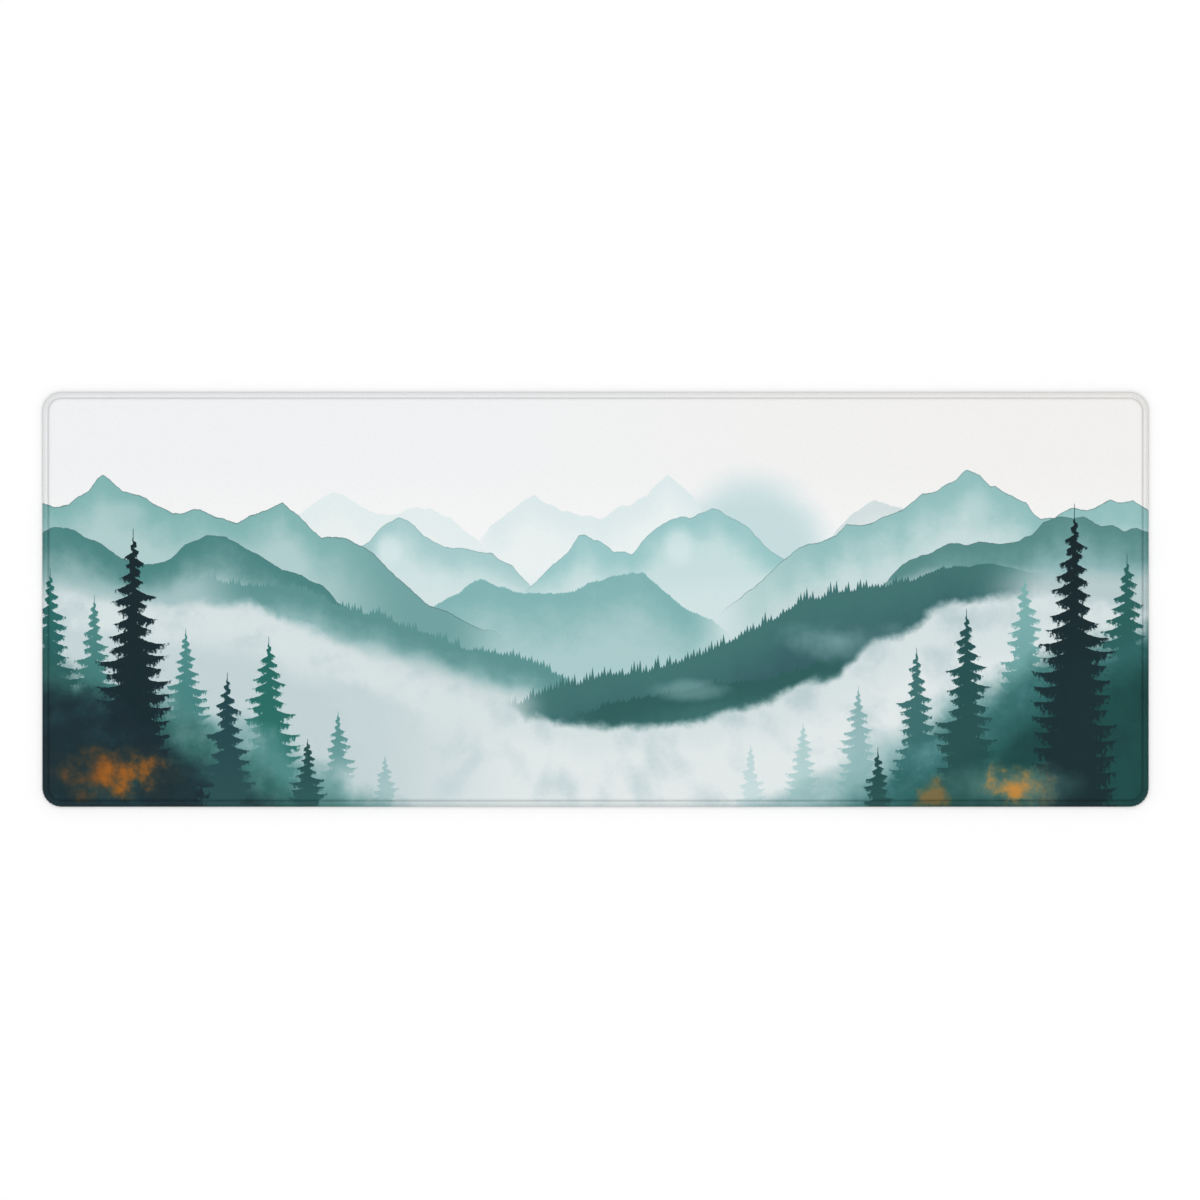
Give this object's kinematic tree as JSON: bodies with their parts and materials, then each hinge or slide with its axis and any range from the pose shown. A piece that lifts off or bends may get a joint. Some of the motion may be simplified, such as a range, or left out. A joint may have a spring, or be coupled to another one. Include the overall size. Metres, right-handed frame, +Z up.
{
  "type": "desk mat",
  "caption": "Wide flat desk mat: a cloth printed with misty mountains and firs, bonded to foam rubber, with rounded corners and an overlocked edge.",
  "frame": {"origin": "middle of the underside, on the desk", "axes": "+X along the length to the sitter's right, +Y away from the sitter to the far edge, +Z up through the printed face"},
  "size_m": [0.8, 0.3, 0.004],
  "materials": {
    "printed_cloth": "fine smooth polyester knit, dye-printed with a teal mountain landscape, matt",
    "bonding_film": "milky hot-melt film, hidden between the cloth and the rubber",
    "rubber_base": "black open-cell foam rubber with a moulded grip pattern underneath, matt",
    "upper_looper_thread": "textured polyester thread carrying the print's colours, soft",
    "lower_looper_thread": "undyed textured polyester thread, soft",
    "needle_thread": "spun polyester thread carrying the print's colours, soft"
  },
  "bodies": {
    "root": {"printed_cloth": "printed_cloth", "bonding_film": "bonding_film", "rubber_base": "rubber_base", "upper_looper_thread": "upper_looper_thread", "lower_looper_thread": "lower_looper_thread", "needle_thread": "needle_thread"}
  },
  "joints": []
}
